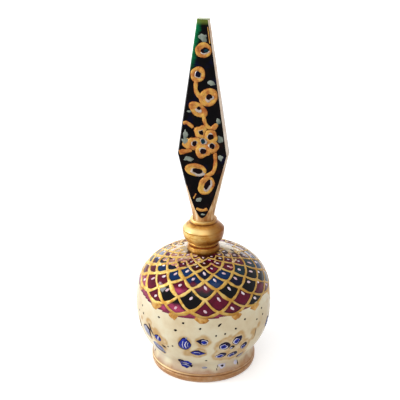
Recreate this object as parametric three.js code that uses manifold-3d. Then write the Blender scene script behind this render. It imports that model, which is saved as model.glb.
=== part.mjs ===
// A small painted kohl pot: a hollow turned bulb in two shells on a gilt foot ring, and a stopper
// with a knob, a flat spear-shaped finial and the kohl stick that hangs into the pot.
// Millimetres, +Z up. The origin is the centre of the foot, on the surface that the pot stands on.
// The finial's broad faces look along -Y (front) and +Y (back).
import * as THREE from "three";
import { mergeVertices } from "three/addons/utils/BufferGeometryUtils.js";
import Module from "manifold-3d";

const wasm = await Module();
wasm.setup();

// Bulb
const bulbRadius = 23.05; // widest half width of the pot
const bulbMiddleZ = 23; // height of the widest place
const crownRise = 19.15; // from the widest place up to the crown
const crownSquareness = 2.6; // exponent of the crown's curve: 2 is round, more is squarer
const bellySink = 22.5; // depth at which the belly's curve would close
const bellySquareness = 2.2;
const wall = 3; // wall of both shells
const floorThickness = 4.1; // wood under the chamber
const seamZ = 27.3; // joint between bowl and dome
const lipHeight = 2; // the bowl's lip that centres the dome
const glueGap = 0.1; // room for glue beside a fitted joint

// Pedestal and foot ring
const waistZ = 7; // where the belly runs into a small cove
const coveRadius = 16.95; // narrowest place under the belly
const coveZ = 6.3;
const pedestalRadius = 17.75; // where the flared pedestal meets the ring
const footHeight = 3.6;
const footRadius = 18;
const footBottomRadius = 16.8; // the ring is round towards the table
const footWall = 3.3;
const footBeadHeight = 0.65; // small bead at the ring's top
const footGrooveDepth = 0.35; // fine turned line under the bead
const footGrooveHalf = 0.3;
const footBand = 0.25; // upright stretch between the line and the rounding
const spigotLift = 0.5; // the bowl's underside stays clear of the table

// Neck ferrule
const flangeRadius = 5.45;
const flangeSink = 0.5; // depth of the flange's seat in the crown
const flangeTopZ = 43.9;
const flangeRounding = 0.45;
const neckBoreRadius = 3.3;
const ferruleTubeWall = 1;
const ferruleTubeLength = 6; // from the flange's top

// Sealing washer, which sits in an undercut of the plug
const washerThickness = 0.45;
const washerRadius = 4.85;
const undercutDepth = 0.4;
const washerHoleGap = 0.15;

// Stopper head with its plug
const plugGap = 0.2; // running room of the plug in the neck
const plugLength = 6.2; // below the washer
const plugLead = 0.7; // tapered lead at the plug's end
const headHeight = 9.05; // from the washer to the head's top
const beadRadius = 5.2;
const beadHeight = 1;
const nipRadius = 4.9; // turned line between bead and knob
const knobRadius = 7;
const knobEdge = 5.1; // above the washer: the bowl of the knob ends here and its shoulder starts
const shoulderSquareness = 1.4; // 1 is a straight cone, 2 is round
const headRimRadius = 4.5; // upright rim that the finial stands in
const headRimHeight = 1.25;
const headRimFillet = 0.15;

// Kohl stick
const stickRadius = 1.15;
const stickGrip = 4.8; // length held in the head
const stickTipRadius = 1.5; // soft bulb that picks up the kohl
const stickTipLength = 7;
const stickClearOfFloor = 1.6; // from the tip to the bowl's floor

// Finial
const stemRadius = 3.65;
const stemHeight = 1.2; // straight stretch above the head
const stemFlareRadius = 4.1;
const stemFlareHeight = 3.6; // the stem flares a little up to here, above the head's top
const finialRadius = 8.45; // half width at the widest place
const finialWidestRise = 23.1; // from the head's top to the widest place
const finialTipRadius = 2.05;
const finialLength = 67.1; // from the head's top to the cut tip
const finialTipHalfThickness = 1.4;
const finialFlatStart = 1.6; // the flats fade into the stem here, above the head's top
const tenonRadius = 2.6;
const tenonLength = 2.8;
const tenonEndGap = 0.2;

// Facets
const bulbSegments = 56;
const neckSegments = 40;
const stickSegments = 20;
const curveSteps = 9;

// Heights that follow from the sizes above
const crownZ = bulbMiddleZ + crownRise;
const flangeSeatZ = bulbHeightAt(flangeRadius) - flangeSink;
const washerTopZ = flangeTopZ + washerThickness;
const headTopZ = washerTopZ + headHeight;
const plugRadius = neckBoreRadius - plugGap;
const undercutRadius = plugRadius - undercutDepth;
const tubeRadius = neckBoreRadius + ferruleTubeWall;
const innerRadius = bulbRadius - wall;
const innerFloorZ = spigotLift + floorThickness;

// Radius of a squared-off quarter curve at a share of its height, from 1 at the middle to 0 at its end.
function quarterCurve(share, squareness) {
  return (1 - Math.min(1, share) ** squareness) ** (1 / squareness);
}

// Outside radius of the bulb at a height.
function bulbRadiusAt(z) {
  return z >= bulbMiddleZ
    ? bulbRadius * quarterCurve((z - bulbMiddleZ) / crownRise, crownSquareness)
    : bulbRadius * quarterCurve((bulbMiddleZ - z) / bellySink, bellySquareness);
}

// Height of the crown at a radius.
function bulbHeightAt(radius) {
  return crownZ - crownRise * (1 - quarterCurve(radius / bulbRadius, crownSquareness));
}

// Inside radius of the bulb at a height, one wall in from the outside.
function chamberRadiusAt(z) {
  return z >= bulbMiddleZ
    ? innerRadius * quarterCurve((z - bulbMiddleZ) / (crownRise - wall), crownSquareness)
    : innerRadius * quarterCurve((bulbMiddleZ - z) / (bulbMiddleZ - innerFloorZ), bellySquareness);
}

// Height of the chamber's ceiling at a radius.
function ceilingHeightAt(radius) {
  return bulbMiddleZ + (crownRise - wall) * quarterCurve(radius / innerRadius, crownSquareness);
}

// Points [radius, height] on a curve between two heights, closer together near its far end.
function curvePoints(radiusAt, fromZ, toZ, steps = curveSteps) {
  return Array.from({ length: steps + 1 }, (_, i) => {
    const z = fromZ + (toZ - fromZ) * Math.sin(((i / steps) * Math.PI) / 2);
    return [radiusAt(z), z];
  });
}

// A solid of revolution about Z from its closed outline of [radius, height] points, counter-clockwise.
function turned(outline, segments) {
  const closed = [...outline, outline[0]].map(([r, z]) => new THREE.Vector2(r, z));
  return new THREE.LatheGeometry(closed, segments).rotateX(Math.PI / 2);
}

// A geometry as a solid for cutting, and back.
function solid(geometry) {
  const bare = geometry.clone();
  bare.deleteAttribute("normal");
  bare.deleteAttribute("uv");
  const merged = mergeVertices(bare, 1e-4);
  return new wasm.Manifold(
    new wasm.Mesh({
      numProp: 3,
      vertProperties: merged.attributes.position.array,
      triVerts: new Uint32Array(merged.index.array),
    }),
  );
}

function geometryOf(cut) {
  const mesh = cut.getMesh();
  const geometry = new THREE.BufferGeometry();
  geometry.setAttribute("position", new THREE.BufferAttribute(mesh.vertProperties, 3));
  geometry.setIndex(new THREE.BufferAttribute(mesh.triVerts, 1));
  geometry.computeVertexNormals();
  return geometry;
}

function piece(name, geometry, color, roughness, metalness) {
  const mesh = new THREE.Mesh(
    geometry,
    new THREE.MeshStandardMaterial({ color, roughness, metalness }),
  );
  mesh.name = name;
  return mesh;
}

// Gilt ring that the pot stands on, round below, with a fine groove under its top bead.
function footRing() {
  const inner = footRadius - footWall;
  const grooveZ = footHeight - footBeadHeight - footGrooveHalf;
  const roundingTopZ = grooveZ - footGrooveHalf - footBand;
  const rounding = Array.from({ length: 5 }, (_, i) => {
    const share = i / 4;
    const swell = quarterCurve(1 - share, 2);
    return [footBottomRadius + (footRadius - footBottomRadius) * swell, roundingTopZ * share];
  });
  return turned(
    [
      [inner, 0],
      ...rounding,
      [footRadius, grooveZ - footGrooveHalf],
      [footRadius - footGrooveDepth, grooveZ],
      [footRadius, grooveZ + footGrooveHalf],
      [footRadius - footGrooveDepth * 0.3, footHeight],
      [inner, footHeight],
    ],
    bulbSegments,
  );
}

// Lower shell: pedestal with a spigot for the foot ring, belly, and a lip that centres the dome.
function lowerBowl() {
  const spigotRadius = footRadius - footWall - glueGap;
  const seamRadius = bulbRadiusAt(seamZ);
  const lipOuter = seamRadius - wall / 2 - glueGap;
  const flare = Array.from({ length: 5 }, (_, i) => {
    const share = i / 4;
    const swell = 1 - Math.sin((share * Math.PI) / 2);
    return [coveRadius + (pedestalRadius - coveRadius) * swell, footHeight + (coveZ - footHeight) * share];
  });
  const belly = [
    ...curvePoints(bulbRadiusAt, waistZ, bulbMiddleZ),
    ...curvePoints(bulbRadiusAt, bulbMiddleZ, seamZ, 2).slice(1),
  ];
  const chamber = curvePoints(chamberRadiusAt, bulbMiddleZ, innerFloorZ);
  chamber[chamber.length - 1][0] = 0;
  return turned(
    [
      [0, spigotLift],
      [spigotRadius, spigotLift],
      [spigotRadius, footHeight],
      ...flare,
      ...belly,
      [lipOuter, seamZ],
      [lipOuter, seamZ + lipHeight],
      [chamberRadiusAt(seamZ + lipHeight), seamZ + lipHeight],
      [chamberRadiusAt(seamZ), seamZ],
      ...chamber,
    ],
    bulbSegments,
  );
}

// Upper shell: crown with the neck hole and the flange's seat, rebated to sit over the bowl's lip.
function upperDome() {
  const seamRadius = bulbRadiusAt(seamZ);
  const rebateRadius = seamRadius - wall / 2;
  const rebateTopZ = seamZ + lipHeight + glueGap;
  const seatRadius = flangeRadius + glueGap;
  const holeRadius = tubeRadius + glueGap;
  const crown = curvePoints(bulbRadiusAt, seamZ, bulbHeightAt(seatRadius), curveSteps + 3);
  const ceiling = curvePoints(chamberRadiusAt, ceilingHeightAt(holeRadius), rebateTopZ, 1);
  const ceilingSteps = Array.from({ length: curveSteps }, (_, i) => {
    const share = Math.cos((((i + 0.5) / curveSteps) * Math.PI) / 2);
    const z = rebateTopZ + (ceilingHeightAt(holeRadius) - rebateTopZ) * share;
    return [chamberRadiusAt(z), z];
  });
  return turned(
    [
      [rebateRadius, seamZ],
      ...crown,
      [seatRadius, flangeSeatZ],
      [holeRadius, flangeSeatZ],
      ceiling[0],
      ...ceilingSteps,
      ceiling[1],
      [rebateRadius, rebateTopZ],
    ],
    bulbSegments,
  );
}

// Gilt ferrule: the ring seen at the neck, and the tube that lines the neck hole.
function neckFerrule() {
  return turned(
    [
      [neckBoreRadius, flangeTopZ - ferruleTubeLength],
      [tubeRadius, flangeTopZ - ferruleTubeLength],
      [tubeRadius, flangeSeatZ],
      [flangeRadius, flangeSeatZ],
      [flangeRadius, flangeTopZ - flangeRounding],
      [flangeRadius - flangeRounding * 0.3, flangeTopZ - flangeRounding * 0.3],
      [flangeRadius - flangeRounding, flangeTopZ],
      [neckBoreRadius, flangeTopZ],
    ],
    neckSegments,
  );
}

// Leather washer, seen as the dark line between ferrule and head.
function sealWasher() {
  const hole = undercutRadius + washerHoleGap;
  return turned(
    [
      [hole, flangeTopZ],
      [washerRadius, flangeTopZ],
      [washerRadius, washerTopZ],
      [hole, washerTopZ],
    ],
    neckSegments,
  );
}

// Gilt head: plug with its undercut, bead, knob and top rim, bored below for the stick and above for the finial.
function stopperHead() {
  const plugEndZ = flangeTopZ - plugLength;
  const beadTopZ = washerTopZ + beadHeight;
  const rimZ = headTopZ - headRimHeight;
  const knobEdgeZ = washerTopZ + knobEdge;
  const knobBowl = Array.from({ length: 6 }, (_, i) => {
    const share = (i / 6) ** 1.4; // closer together where the bowl turns fastest
    const swell = quarterCurve(1 - share, 2);
    return [nipRadius + (knobRadius - nipRadius) * swell, beadTopZ + (knobEdgeZ - beadTopZ) * share];
  });
  const rimFootRadius = headRimRadius + headRimFillet;
  const shoulder = Array.from({ length: 7 }, (_, i) => {
    const share = i / 6;
    const swell = quarterCurve(share, shoulderSquareness);
    return [rimFootRadius + (knobRadius - rimFootRadius) * swell, knobEdgeZ + (rimZ - knobEdgeZ) * share];
  });
  const socketFloorZ = headTopZ - tenonLength - tenonEndGap;
  const head = solid(
    turned(
      [
        [0, plugEndZ],
        [plugRadius - plugLead * 0.5, plugEndZ],
        [plugRadius, plugEndZ + plugLead],
        [plugRadius, flangeTopZ],
        [undercutRadius, flangeTopZ],
        [undercutRadius, washerTopZ],
        [beadRadius - 0.3, washerTopZ],
        [beadRadius, washerTopZ + beadHeight * 0.35],
        [beadRadius - 0.05, beadTopZ - 0.25],
        ...knobBowl,
        ...shoulder,
        [headRimRadius, rimZ + headRimFillet],
        [headRimRadius, headTopZ - headRimFillet],
        [headRimRadius - headRimFillet, headTopZ],
        [0, headTopZ],
      ],
      neckSegments,
    ),
  );
  const stickBore = solid(drill(stickRadius + glueGap, plugEndZ - 1, washerTopZ + stickGrip));
  const socket = solid(drill(tenonRadius + glueGap, socketFloorZ, headTopZ + 1));
  return geometryOf(head.subtract(stickBore).subtract(socket));
}

// Round cutter between two heights.
function drill(radius, fromZ, toZ) {
  return turned(
    [
      [0, fromZ],
      [radius, fromZ],
      [radius, toZ],
      [0, toZ],
    ],
    stickSegments,
  );
}

// Kohl stick: held in the head, with a soft bulb at its lower end.
function kohlStick() {
  const tipZ = innerFloorZ + stickClearOfFloor;
  const topZ = washerTopZ + stickGrip - glueGap;
  const bulb = Array.from({ length: 8 }, (_, i) => {
    const share = i / 7; // 0 at the tip, 1 where the bulb has faded into the shank
    const swell = Math.sqrt(1 - (1 - Math.min(1, share / 0.3)) ** 2);
    const fade = 0.5 + 0.5 * Math.cos(Math.PI * Math.max(0, (share - 0.3) / 0.7));
    return [(stickRadius + (stickTipRadius - stickRadius) * fade) * swell, tipZ + stickTipLength * share];
  });
  bulb[0][0] = 0;
  return turned([...bulb, [stickRadius, topZ], [0, topZ]], stickSegments);
}

// Finial: a turned double cone sawn flat front and back, as a slight wedge, with a tenon for the head.
function finialBlade() {
  const baseZ = headTopZ;
  const widestZ = baseZ + finialWidestRise;
  const tipZ = baseZ + finialLength;
  const soft = 0.9; // rounding of the widest place
  const cone = solid(
    turned(
      [
        [0, baseZ - tenonLength],
        [tenonRadius, baseZ - tenonLength],
        [tenonRadius, baseZ],
        [stemRadius, baseZ],
        [stemRadius, baseZ + stemHeight],
        [stemFlareRadius, baseZ + stemFlareHeight],
        [finialRadius - soft * 0.25, widestZ - soft],
        [finialRadius, widestZ],
        [finialRadius - soft * 0.2, widestZ + soft],
        [finialTipRadius, tipZ],
        [0, tipZ],
      ],
      neckSegments,
    ),
  );
  const lean = (stemRadius - finialTipHalfThickness) / (finialLength - finialFlatStart);
  const halfThicknessAt = (z) => finialTipHalfThickness + (tipZ - z) * lean;
  const lowZ = baseZ - tenonLength - 1;
  const highZ = tipZ + 1;
  const wedge = new THREE.Shape([
    new THREE.Vector2(-halfThicknessAt(lowZ), lowZ),
    new THREE.Vector2(halfThicknessAt(lowZ), lowZ),
    new THREE.Vector2(halfThicknessAt(highZ), highZ),
    new THREE.Vector2(-halfThicknessAt(highZ), highZ),
  ]);
  const width = 4 * finialRadius;
  const slab = new THREE.ExtrudeGeometry(wedge, { depth: width, bevelEnabled: false })
    .translate(0, 0, -width / 2)
    .rotateX(Math.PI / 2)
    .rotateZ(Math.PI / 2);
  return geometryOf(cone.intersect(solid(slab)));
}

const pot = new THREE.Group();
pot.add(
  piece("foot_ring", footRing(), 0xc98f3c, 0.32, 1),
  piece("lower_bowl", lowerBowl(), 0xe0d3ae, 0.18, 0),
  piece("upper_dome", upperDome(), 0x6a1a34, 0.15, 0),
  piece("neck_ferrule", neckFerrule(), 0xd09a40, 0.3, 1),
);

const stopper = new THREE.Group();
stopper.add(
  piece("seal_washer", sealWasher(), 0x5a2f18, 0.8, 0),
  piece("stopper_head", stopperHead(), 0xd6a24a, 0.3, 1),
  piece("kohl_stick", kohlStick(), 0xb08a4a, 0.35, 1),
  piece("finial_blade", finialBlade(), 0x16201a, 0.2, 0),
);

const kohlPot = new THREE.Group();
kohlPot.add(pot, stopper);

export default kohlPot;
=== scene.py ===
import math
import random

import bmesh
import bpy
from mathutils import Euler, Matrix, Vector, noise


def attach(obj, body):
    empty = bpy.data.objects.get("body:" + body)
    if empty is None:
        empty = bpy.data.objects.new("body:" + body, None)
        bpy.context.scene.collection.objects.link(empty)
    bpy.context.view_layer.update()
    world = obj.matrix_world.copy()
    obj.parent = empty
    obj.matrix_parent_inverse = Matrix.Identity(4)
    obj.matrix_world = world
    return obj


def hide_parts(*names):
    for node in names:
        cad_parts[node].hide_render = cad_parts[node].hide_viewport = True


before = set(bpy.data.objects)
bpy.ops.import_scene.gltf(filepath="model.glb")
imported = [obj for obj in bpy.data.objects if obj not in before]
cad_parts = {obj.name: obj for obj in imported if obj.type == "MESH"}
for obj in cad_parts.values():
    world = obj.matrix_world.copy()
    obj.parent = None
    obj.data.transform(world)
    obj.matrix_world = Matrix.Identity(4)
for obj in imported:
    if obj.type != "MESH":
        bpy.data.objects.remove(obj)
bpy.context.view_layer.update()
mm = 0.001  # in the scene's metres
print("frame loaded")

# The photograph's view
view = {
    "turn": 7.7,  # degrees round the pot, to its right
    "pitch": 21.93,  # degrees below the horizon
    "back": 320,
    "height": 188.5,
    "lens": 93.44,
    "sensor": 36,
    "shift": -0.00875,  # the pot stands a little right of the middle
}


def makeCamera():
    camera = bpy.data.objects.new("camera", bpy.data.cameras.new("camera"))
    bpy.context.scene.collection.objects.link(camera)
    turn, back = math.radians(view["turn"]), view["back"]
    place = back * math.sin(turn), -back * math.cos(turn), view["height"]
    camera.location = [c * mm for c in place]
    camera.rotation_euler = Euler((math.radians(90 - view["pitch"]), 0, turn))
    camera.data.lens = view["lens"]
    camera.data.sensor_width = view["sensor"]
    camera.data.shift_x = view["shift"]
    camera.data.clip_start = mm
    bpy.context.scene.camera = camera


makeCamera()

# Small helpers for node trees


def newMaterial(name):
    material = bpy.data.materials.new(name)
    material.use_nodes = True
    return material, material.node_tree


def feed(tree, socket, value):
    # Puts a number, a colour or another node's output into a socket
    if isinstance(value, bpy.types.NodeSocket):
        tree.links.new(value, socket)
    elif socket.type == "RGBA":
        socket.default_value = (*value, 1)
    else:
        socket.default_value = value


def addNode(tree, kind, *feeds, **settings):
    # Settings and sockets by name; feeds go into the first sockets in turn
    node = tree.nodes.new(kind)
    for name, value in settings.items():
        if name in node.inputs:
            feed(tree, node.inputs[name], value)
        else:
            setattr(node, name, value)
    for socket, value in zip(node.inputs, feeds):
        feed(tree, socket, value)
    return node


def objectPoint(tree, scale=(1, 1, 1)):
    place = addNode(tree, "ShaderNodeTexCoord").outputs["Object"]
    return addNode(tree, "ShaderNodeMapping", place, Scale=scale).outputs["Vector"]


def objectAxes(tree):
    # x, y and z of the place on the object, in mm
    point = objectPoint(tree, (1 / mm, 1 / mm, 1 / mm))
    return addNode(tree, "ShaderNodeSeparateXYZ", point).outputs


def noiseAt(tree, point, scale, detail=4, roughness=0.55):
    # The scale, or the one that its point was made with, is in waves a metre
    node = addNode(tree, "ShaderNodeTexNoise", point, Scale=scale, Detail=detail, Roughness=roughness)
    return node.outputs["Fac"]


def ramp(tree, fac, *stops):
    node = addNode(tree, "ShaderNodeValToRGB", fac)
    elements = node.color_ramp.elements
    while len(elements) < len(stops):
        elements.new(0.5)
    for element, (position, color) in zip(elements, stops):
        element.position = position
        element.color = (*color, 1)
    return node.outputs["Color"]


def linear(*color):
    # A colour read as 0 to 255 on a screen, as the renderer wants it
    return tuple(((c / 255 + 0.055) / 1.055) ** 2.4 if c > 10 else c / 255 / 12.92 for c in color)


def paintRamp(tree, fac, *stops):
    return ramp(tree, fac, *((position, linear(*color)) for position, color in stops))


def mixColors(tree, fac, a, b, blend="MIX"):
    node = addNode(tree, "ShaderNodeMix", fac, data_type="RGBA", blend_type=blend)
    feed(tree, node.inputs[6], a)
    feed(tree, node.inputs[7], b)
    return node.outputs[2]


def mathNode(tree, operation, *values):
    return addNode(tree, "ShaderNodeMath", *values, operation=operation).outputs[0]


def fade(tree, value, start, end, low=0, high=1):
    # Low at the start, high at the end, level beyond both
    return addNode(tree, "ShaderNodeMapRange", value, start, end, low, high).outputs["Result"]


def setShader(tree, looks, bump):
    # Looks by socket; bump is what stands on the surface, its strength and its depth
    shader = tree.nodes["Principled BSDF"]
    for name, value in looks.items():
        feed(tree, shader.inputs[name], value)
    height, strength, depth = bump
    node = addNode(tree, "ShaderNodeBump", Height=height, Strength=strength, Distance=depth * mm)
    tree.links.new(node.outputs["Normal"], shader.inputs["Normal"])


# Finishes

# A thin clear coat; the paint under it shines little by itself
lacquer = {"Coat Weight": 0.5, "Coat IOR": 1.22, "Coat Roughness": 0.05, "Specular IOR Level": 0.03}


def nearHeight(tree, z, height, half, core):
    # 1 within the core of a height, 0 beyond half
    return fade(tree, mathNode(tree, "ABSOLUTE", mathNode(tree, "SUBTRACT", z, height)), half, core)


def giltLightAndShade(tree, color, blotches, paintedLight):
    # Painted light on gilt: bands of painted highlight on its left side, painted shade that browns its
    # blotches on its right side, and brown bands of painted shade in its grooves
    x, _, z = objectAxes(tree)
    right = fade(tree, x, *paintedLight["side"])
    left = mathNode(tree, "SUBTRACT", 1, right)
    # Painted highlights: bright bands that fade out towards the right side
    for height, half in paintedLight["highlightBands"]:
        paintedHighlight = mathNode(tree, "MULTIPLY", nearHeight(tree, z, height, half, half / 3), left)
        color = mixColors(tree, paintedHighlight, color, linear(*paintedLight["paintedHighlight"]))
    # Painted shade: brown blotches that grow stronger towards the right side
    rightShade = fade(tree, blotches, 0, 1, paintedLight["rightShade"] * 0.4, paintedLight["rightShade"] * 1.6)
    brown = mathNode(tree, "MULTIPLY", right, rightShade)
    # Brown bands where given: on the gilt, painted shade in its grooves and creases; on the net lines, a
    # darker band low on the dome
    for height, half in paintedLight["darkBands"]:
        bandDark = mathNode(tree, "MULTIPLY", nearHeight(tree, z, height, half, half / 4), 0.75)
        brown = mathNode(tree, "MAXIMUM", brown, bandDark)
    return mixColors(tree, brown, color, linear(*paintedLight["brown"]))


def giltFinish(name, light, middle, dark, metal=0.5, across=(45, 45, 800), spread=0.12, paintedLight=None):
    # Gold paint laid on with a brush while the work turned: fine streaks round the ring, worn in blotches,
    # and where given painted highlights and painted shade
    material, tree = newMaterial(name)
    streaks = noiseAt(tree, objectPoint(tree, across), 1, detail=6, roughness=0.6)
    blotches = noiseAt(tree, objectPoint(tree), 330, detail=5, roughness=0.65)
    tone = mixColors(tree, 0.5, streaks, blotches)
    color = paintRamp(tree, tone, (0.5 - spread, dark), (0.5, middle), (0.5 + spread, light))
    # Painted highlights on the left, painted shade on the right side and in grooves
    if paintedLight:
        color = giltLightAndShade(tree, color, blotches, paintedLight)
    looks = {"Base Color": color, "Roughness": fade(tree, blotches, 0, 1, 0.2, 0.5), "Metallic": metal}
    setShader(tree, {**looks, "Specular IOR Level": 0.15}, (tone, 0.3, 0.15))
    return material


def enamelFinish(name, color, other, speckle=0.35, coat=lacquer["Coat Weight"]):
    # Paint under clear lacquer
    material, tree = newMaterial(name)
    cloud = noiseAt(tree, objectPoint(tree), 420, detail=5)
    paint = paintRamp(tree, cloud, (0.35, color), (0.35 + speckle, other))
    looks = {"Base Color": paint, "Roughness": 0.5, **lacquer, "Coat Weight": coat}
    setShader(tree, looks, (noiseAt(tree, objectPoint(tree), 900), 0.06, 0.1))
    return material


def goldLineFinish(name, light, middle, dark, metal=0.2, paintedLight=None):
    # Gold paint in lines, thin here and thick there
    material, tree = newMaterial(name)
    cloud = noiseAt(tree, objectPoint(tree), 420, detail=6, roughness=0.65)
    color = paintRamp(tree, cloud, (0.38, dark), (0.5, middle), (0.6, light))
    # Where given: painted shade towards the right side and darker bands
    if paintedLight:
        color = giltLightAndShade(tree, color, cloud, paintedLight)
    looks = {"Base Color": color, "Metallic": metal, "Roughness": 0.45, **lacquer}
    setShader(tree, looks, (noiseAt(tree, objectPoint(tree), 1500), 0.2, 0.08))
    return material


# The bulb's shape

pot = {
    "radius": 23.05,
    "middle": 23,
    "rise": 19.15,
    "riseCurve": 2.6,
    "sink": 22.5,
    "sinkCurve": 2.2,
    "seam": 27.3,
    "wall": 3,
    "floor": 4.6,
}
pedestal = {
    "cove": 16.95,
    "coveAt": 6.3,
    "flare": 0.8,
    "bottom": 3.6,
    "soft": 0.9,  # how far the crease under the belly is rounded
    "spigot": 14.6,
    "underside": 0.5,
}


def quarter(share, curve):
    # A squared-off quarter curve: 1 at its start, 0 at its end
    return (1 - min(1, share) ** curve) ** (1 / curve)


def outsideRadius(z):
    # The bulb's outside, running softly into the flared pedestal
    if z >= pot["middle"]:
        return pot["radius"] * quarter((z - pot["middle"]) / pot["rise"], pot["riseCurve"])
    belly = pot["radius"] * quarter((pot["middle"] - z) / pot["sink"], pot["sinkCurve"])
    share = min(1, (z - pedestal["bottom"]) / (pedestal["coveAt"] - pedestal["bottom"]))
    flare = pedestal["cove"] + pedestal["flare"] * (1 - math.sin(share * math.pi / 2))
    near = max(0, pedestal["soft"] - abs(belly - flare))
    return max(belly, flare) + near**2 / (4 * pedestal["soft"])


def chamberRadius(z):
    # The bulb's inside, one wall in
    inside = pot["radius"] - pot["wall"]
    if z >= pot["middle"]:
        return inside * quarter((z - pot["middle"]) / (pot["rise"] - pot["wall"]), pot["riseCurve"])
    return inside * quarter((pot["middle"] - z) / (pot["middle"] - pot["floor"]), pot["sinkCurve"])


def crownHeight(radius, inset=0):
    share = radius / (pot["radius"] - inset)
    return pot["middle"] + (pot["rise"] - inset) * quarter(share, pot["riseCurve"])


def bulbTable():
    # Way walked up the outside from the foot ring to the crown, with radius and height
    steps = 400
    rows = []
    for i in range(-steps, steps + 1):
        reach = pot["rise"] if i > 0 else pot["middle"] - pedestal["bottom"]
        z = pot["middle"] + reach * math.sin(i / steps * math.pi / 2)
        rows.append((outsideRadius(z), z))
    ways = [0]
    for (r0, z0), (r1, z1) in zip(rows, rows[1:]):
        ways.append(ways[-1] + math.hypot(r1 - r0, z1 - z0))
    return [(way, r, z) for way, (r, z) in zip(ways, rows)]


bulbRows = bulbTable()


def bulbWay(z):
    # The way up the outside to a height
    for (way0, _, z0), (way1, _, z1) in zip(bulbRows, bulbRows[1:]):
        if z <= z1:
            return way0 + (way1 - way0) * (z - z0) / (z1 - z0)
    return bulbRows[-1][0]


def bulbAt(way):
    # Radius, height and outward direction at a way up the outside
    low, high = 0, len(bulbRows) - 1
    way = max(0, min(way, bulbRows[-1][0] - 0.001))
    while high - low > 1:
        middle = (low + high) // 2
        if bulbRows[middle][0] <= way:
            low = middle
        else:
            high = middle
    way0, r0, z0 = bulbRows[low]
    way1, r1, z1 = bulbRows[high]
    t = (way - way0) / (way1 - way0)
    length = math.hypot(r1 - r0, z1 - z0)
    return r0 + (r1 - r0) * t, z0 + (z1 - z0) * t, (z1 - z0) / length, (r0 - r1) / length


def aroundBulb(turn, way, lift):
    # A point on the bulb, or a little off it: turn in radians from the front, way up the outside
    r, z, outR, outZ = bulbAt(way)
    r += outR * lift
    return Vector((r * math.sin(turn), -r * math.cos(turn), z + outZ * lift))


def spotOnBulb(degrees, height):
    # A flat patch of drawing paper laid on the bulb: x runs round the pot, y up it
    turn, way = math.radians(degrees), bulbWay(height)

    def place(x, y, lift):
        return aroundBulb(turn + x / bulbAt(way + y)[0], way + y, lift)

    return place


# Mesh helpers

bodies = {  # of the nodes that don't belong to the pot
    "seal_washer": "seal",
    "stopper_head": "stopper",
    "kohl_stick": "stopper",
    "finial_blade": "stopper",
}
paintSkin = 0.12  # how deep paint is closed into what it lies on


def finish(bm, name, materials, node, sharp=None, isPaint=False):
    # Makes a closed bmesh a piece that rides with its node, in the node's place or as paint on it
    bmesh.ops.remove_doubles(bm, verts=bm.verts, dist=0.0001)
    bmesh.ops.recalc_face_normals(bm, faces=bm.faces)
    bmesh.ops.scale(bm, verts=bm.verts, vec=(mm, mm, mm))
    mesh = bpy.data.meshes.new(name)
    bm.to_mesh(mesh)
    bm.free()
    mesh.shade_smooth()
    if sharp:
        mesh.set_sharp_from_angle(angle=math.radians(sharp))
    for material in materials:
        mesh.materials.append(material)
    piece = bpy.data.objects.new(name, mesh)
    bpy.context.scene.collection.objects.link(piece)
    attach(piece, bodies.get(node, "pot"))
    if not isPaint:
        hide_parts(node)
    return piece


def finishPaint(bm, name, material, node):
    bmesh.ops.solidify(bm, geom=bm.faces[:], thickness=paintSkin)
    finish(bm, name, [material], node, isPaint=True)


def spun(outline, segments):
    # A turned solid from its outline of (radius, height), closed round on itself or on the axis
    bm = bmesh.new()
    verts = [bm.verts.new((r, 0, z)) for r, z in outline]
    pairs = list(zip(verts, verts[1:]))
    if outline[0][0] > 0:
        pairs.append((verts[-1], verts[0]))
    geometry = verts + [bm.edges.new(pair) for pair in pairs]
    bmesh.ops.spin(
        bm, geom=geometry, cent=(0, 0, 0), axis=(0, 0, 1), angle=2 * math.pi, steps=segments, use_merge=True
    )
    bmesh.ops.remove_doubles(bm, verts=bm.verts, dist=0.001)
    return bm


def arc(r, z, radius, fromDegrees, toDegrees, steps):
    # Points of an arc round (r, z)
    angles = [math.radians(fromDegrees + (toDegrees - fromDegrees) * i / steps) for i in range(steps + 1)]
    return [(r + radius * math.cos(a), z + radius * math.sin(a)) for a in angles]


def turned(x, y, angle, at=(0, 0)):
    cos, sin = math.cos(angle), math.sin(angle)
    return at[0] + x * cos - y * sin, at[1] + x * sin + y * cos


hand = {"grain": 0.7, "width": 0.4, "outline": 1.3}  # how fast and how far the painter's hand wavers


def stroke(bm, place, path, width, steps=12, across=4, lift=0, rise=0.09, taper=0):
    # A brush stroke with a rounded back along path(t), t from 0 to 1; taper thins its ends
    made = bmesh.ops.create_grid(bm, x_segments=steps, y_segments=across, size=0.5)["verts"]
    for vert in made:
        t, side = vert.co.x + 0.5, vert.co.y * 2
        middle = place(*path(t), 0)
        out = (place(*path(t), 1) - middle).normalized()
        along = (place(*path(min(1, t + 0.01)), 0) - place(*path(max(0, t - 0.01)), 0)).normalized()
        end = min(1, min(t, 1 - t) / taper) if taper else 1
        half = (width(t) if callable(width) else width) / 2 * (0.2 + 0.8 * math.sqrt(max(0, end)))
        half *= 1 + hand["width"] * noise.noise(middle * hand["grain"])
        vert.co = middle + out.cross(along) * side * half + out * (lift + rise * (1 - side * side) * end)


def dab(bm, place, size, turn=0, sides=16, point=0, lift=0.02, rise=0.07, at=(0, 0), wild=0.35):
    # A round dab of paint, thicker in its middle; point draws one end to a tip, wild roughens its outline
    face = bmesh.ops.create_circle(bm, cap_ends=True, segments=sides, radius=1)["verts"][0].link_faces[0]
    verts = set(face.verts)
    for _ in range(2):
        bmesh.ops.inset_individual(bm, faces=[face], thickness=0.33)
        verts |= set(face.verts)
    start = place(*at, 0) * hand["grain"]
    for vert in verts:
        x, y, _ = vert.co
        away = min(1, math.hypot(x, y))
        wander = 1 + wild * noise.noise(Vector((x, y, 0)) * hand["outline"] + start)
        x, y = x * wander, y * wander
        y *= 1 - point * max(0, x)
        x, y = turned(x * size[0] / 2, y * size[1] / 2, math.radians(turn), at)
        vert.co = place(x, y, lift + rise * (1 - away * away))


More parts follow.
